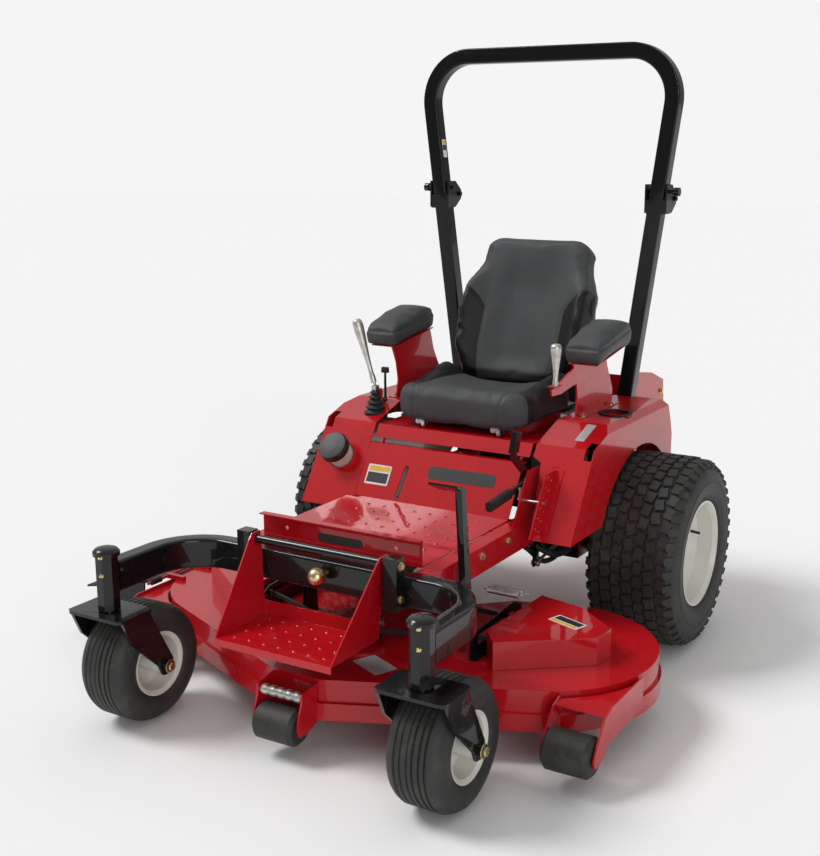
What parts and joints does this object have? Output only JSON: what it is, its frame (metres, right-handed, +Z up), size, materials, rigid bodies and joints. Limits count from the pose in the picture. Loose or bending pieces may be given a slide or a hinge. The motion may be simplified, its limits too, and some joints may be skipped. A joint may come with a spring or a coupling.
{
  "type": "zero turn mower",
  "caption": "Ride-on zero-turn lawn mower with a wide belt-driven cutting deck, caster front wheels, padded seat with armrests, stick control and a folding roll-over hoop.",
  "frame": {"origin": "middle of the footprint on the ground", "axes": "+Z up, the machine faces -Y, +X is the seated operator's left"},
  "size_m": [1.8799, 2.032, 1.895],
  "materials": {
    "red_paint": "gloss powder coat",
    "black_paint": "satin powder coat",
    "cream_paint": "gloss enamel",
    "tyre_rubber": "dusty rubber",
    "seat_vinyl": "matt vinyl",
    "black_rubber": "moulded rubber",
    "black_plastic": "fine grained",
    "tank_plastic": "natural polyethylene",
    "silver_grip": "satin silver",
    "zinc_steel": "zinc plated",
    "gold_zinc": "yellow zinc plated",
    "red_plastic": "moulded"
  },
  "bodies": {
    "chassis": {"main_frame": "red_paint", "front_frame": "black_paint", "floor_pan": "red_paint", "front_step": "red_paint", "front_panel": "red_paint", "console_left": "red_paint", "console_right": "red_paint", "rear_guard": "red_paint", "engine_block": "black_paint", "engine_shroud": "black_plastic", "fuel_tank": "tank_plastic", "battery": "black_plastic", "drive_units": "black_paint", "height_plate": "red_paint", "hoop_posts": "black_paint", "chassis_bolts": "gold_zinc", "springs": "zinc_steel", "armrest_plates": "red_paint", "armrest_pads": "seat_vinyl", "hand_grip": "silver_grip", "control_boot": "black_rubber"},
    "deck": {"deck_shell": "red_paint", "belt_covers": "red_paint", "deck_brackets": "black_paint", "deck_belt": "black_rubber", "roller_brackets": "red_paint"},
    "rear_wheel_left": {"rear_tyre_left": "tyre_rubber", "rear_rim_left": "cream_paint"},
    "fork_left": {"caster_fork_left": "black_paint"},
    "caster_left": {"caster_tyre_left": "tyre_rubber", "caster_rim_left": "cream_paint"},
    "rear_wheel_right": {"rear_tyre_right": "tyre_rubber", "rear_rim_right": "cream_paint"},
    "fork_right": {"caster_fork_right": "black_paint"},
    "caster_right": {"caster_tyre_right": "tyre_rubber", "caster_rim_right": "cream_paint"},
    "lift_linkage": {"lift_pedal": "black_paint"},
    "spindle_centre": {"blade_centre": "zinc_steel"},
    "spindle_left": {"blade_left": "zinc_steel"},
    "spindle_right": {"blade_right": "zinc_steel"},
    "crankshaft": {"engine_pulley": "zinc_steel"},
    "nose_roller": {"roller_front": "tyre_rubber"},
    "left_roller": {"roller_left": "tyre_rubber"},
    "right_roller": {"roller_right": "tyre_rubber"},
    "chute": {"chute": "black_rubber"},
    "hoop": {"hoop_top": "black_paint"},
    "hoop_pin_left": {"lock_pin_left": "black_paint"},
    "hoop_pin_right": {"lock_pin_right": "black_paint"},
    "seat_carriage": {"seat_base": "black_paint"},
    "seat": {"seat_shell": "black_plastic", "seat_cushion": "seat_vinyl", "seat_back": "seat_vinyl"},
    "stick_yoke": {"joystick_yoke": "zinc_steel"},
    "stick": {"joystick_lever": "silver_grip"},
    "throttle": {"throttle_lever": "black_plastic"},
    "blade_switch": {"pto_knob": "red_plastic"},
    "brake": {"brake_lever": "black_rubber"},
    "height_lever": {"lift_lever": "black_paint"},
    "stop_pin": {"height_pin": "zinc_steel"},
    "tank_cap": {"fuel_cap": "black_plastic"}
  },
  "joints": [
    {"name": "rear_wheel_left_spin", "type": "hinge", "parent": "chassis", "child": "rear_wheel_left", "pos_m": [0.695, 0.416, 0.305], "axis": [1, 0, 0], "continuous": true},
    {"name": "caster_left_swivel", "type": "hinge", "parent": "chassis", "child": "fork_left", "pos_m": [0.626, -0.954, 0.345], "axis": [0, 0, 1], "continuous": true},
    {"name": "caster_left_spin", "type": "hinge", "parent": "fork_left", "child": "caster_left", "pos_m": [0.626, -0.851, 0.165], "axis": [1, 0, 0], "continuous": true},
    {"name": "rear_wheel_right_spin", "type": "hinge", "parent": "chassis", "child": "rear_wheel_right", "pos_m": [-0.423, 0.416, 0.305], "axis": [1, 0, 0], "continuous": true},
    {"name": "caster_right_swivel", "type": "hinge", "parent": "chassis", "child": "fork_right", "pos_m": [-0.354, -0.954, 0.345], "axis": [0, 0, 1], "continuous": true},
    {"name": "caster_right_spin", "type": "hinge", "parent": "fork_right", "child": "caster_right", "pos_m": [-0.354, -0.851, 0.165], "axis": [1, 0, 0], "continuous": true},
    {"name": "deck_lift", "type": "slide", "parent": "chassis", "child": "deck", "axis": [0, 0, 1], "range_m": [-0.035, 0.03]},
    {"name": "lift_pedal_turn", "type": "hinge", "parent": "chassis", "child": "lift_linkage", "pos_m": [0.136, -0.479, 0.368], "axis": [1, 0, 0], "range_deg": [-27.5, 24]},
    {"name": "blade_centre_spin", "type": "hinge", "parent": "deck", "child": "spindle_centre", "pos_m": [0.136, -0.489, 0.13], "axis": [0, 0, 1], "continuous": true},
    {"name": "blade_left_spin", "type": "hinge", "parent": "deck", "child": "spindle_left", "pos_m": [0.631, -0.314, 0.13], "axis": [0, 0, 1], "continuous": true},
    {"name": "blade_right_spin", "type": "hinge", "parent": "deck", "child": "spindle_right", "pos_m": [-0.359, -0.314, 0.13], "axis": [0, 0, 1], "continuous": true},
    {"name": "engine_pulley_spin", "type": "hinge", "parent": "chassis", "child": "crankshaft", "pos_m": [0.136, 0.651, 0.35], "axis": [0, 0, 1], "continuous": true},
    {"name": "roller_front_spin", "type": "hinge", "parent": "deck", "child": "nose_roller", "pos_m": [0.136, -0.856, 0.092], "axis": [1, 0, 0], "continuous": true},
    {"name": "roller_left_spin", "type": "hinge", "parent": "deck", "child": "left_roller", "pos_m": [0.86, -0.632, 0.095], "axis": [1, 0, 0], "continuous": true},
    {"name": "roller_right_spin", "type": "hinge", "parent": "deck", "child": "right_roller", "pos_m": [-0.588, -0.632, 0.095], "axis": [1, 0, 0], "continuous": true},
    {"name": "chute_hinge", "type": "hinge", "parent": "deck", "child": "chute", "pos_m": [-0.67, -0.336, 0.212], "axis": [0, 1, 0], "range_deg": [0, 90]},
    {"name": "hoop_fold", "type": "hinge", "parent": "chassis", "child": "hoop", "pos_m": [0.136, 0.722, 1.401], "axis": [1, 0, 0], "range_deg": [-120, 0]},
    {"name": "lock_pin_left_pull", "type": "slide", "parent": "chassis", "child": "hoop_pin_left", "axis": [1, 0, 0], "range_m": [0, 0.08]},
    {"name": "lock_pin_right_pull", "type": "slide", "parent": "chassis", "child": "hoop_pin_right", "axis": [-1, 0, 0], "range_m": [0, 0.08]},
    {"name": "seat_slide", "type": "slide", "parent": "chassis", "child": "seat_carriage", "axis": [0, 1, 0], "range_m": [-0.05, 0.015]},
    {"name": "seat_tilt", "type": "hinge", "parent": "seat_carriage", "child": "seat", "pos_m": [0.136, 0.076, 0.712], "axis": [1, 0, 0], "range_deg": [0, 50]},
    {"name": "stick_pitch", "type": "hinge", "parent": "chassis", "child": "stick_yoke", "pos_m": [-0.201, 0.111, 0.722], "axis": [1, 0, 0], "range_deg": [-12, 12], "stiffness_Nm_per_rad": 40},
    {"name": "stick_roll", "type": "hinge", "parent": "stick_yoke", "child": "stick", "pos_m": [-0.201, 0.111, 0.792], "axis": [0, 1, 0], "range_deg": [-10, 10], "stiffness_Nm_per_rad": 20},
    {"name": "throttle_turn", "type": "hinge", "parent": "chassis", "child": "throttle", "pos_m": [-0.194, 0.16, 0.743], "axis": [1, 0, 0], "range_deg": [-25, 19]},
    {"name": "pto_pull", "type": "slide", "parent": "chassis", "child": "blade_switch", "axis": [0, 0, 1], "range_m": [0, 0.012]},
    {"name": "brake_turn", "type": "hinge", "parent": "chassis", "child": "brake", "pos_m": [0.407, 0.006, 0.581], "axis": [1, 0, 0], "range_deg": [-30, 0]},
    {"name": "lift_lever_turn", "type": "hinge", "parent": "chassis", "child": "height_lever", "pos_m": [0.436, 0.006, 0.581], "axis": [1, 0, 0], "range_deg": [-15, 12]},
    {"name": "height_pin_pull", "type": "slide", "parent": "chassis", "child": "stop_pin", "axis": [1, 0, 0], "range_m": [-0.014, 0]},
    {"name": "fuel_cap_spin", "type": "hinge", "parent": "chassis", "child": "tank_cap", "pos_m": [-0.25, -0.02248, 0.588], "axis": [0, -0.766, 0.6428], "continuous": true}
  ],
  "couplings": [
    {"joint": "lift_pedal_turn", "follows": "deck_lift", "rad_per_m": 13.333},
    {"joint": "blade_left_spin", "follows": "blade_centre_spin", "ratio": 1},
    {"joint": "blade_right_spin", "follows": "blade_centre_spin", "ratio": 1},
    {"joint": "engine_pulley_spin", "follows": "blade_centre_spin", "ratio": 0.75}
  ]
}
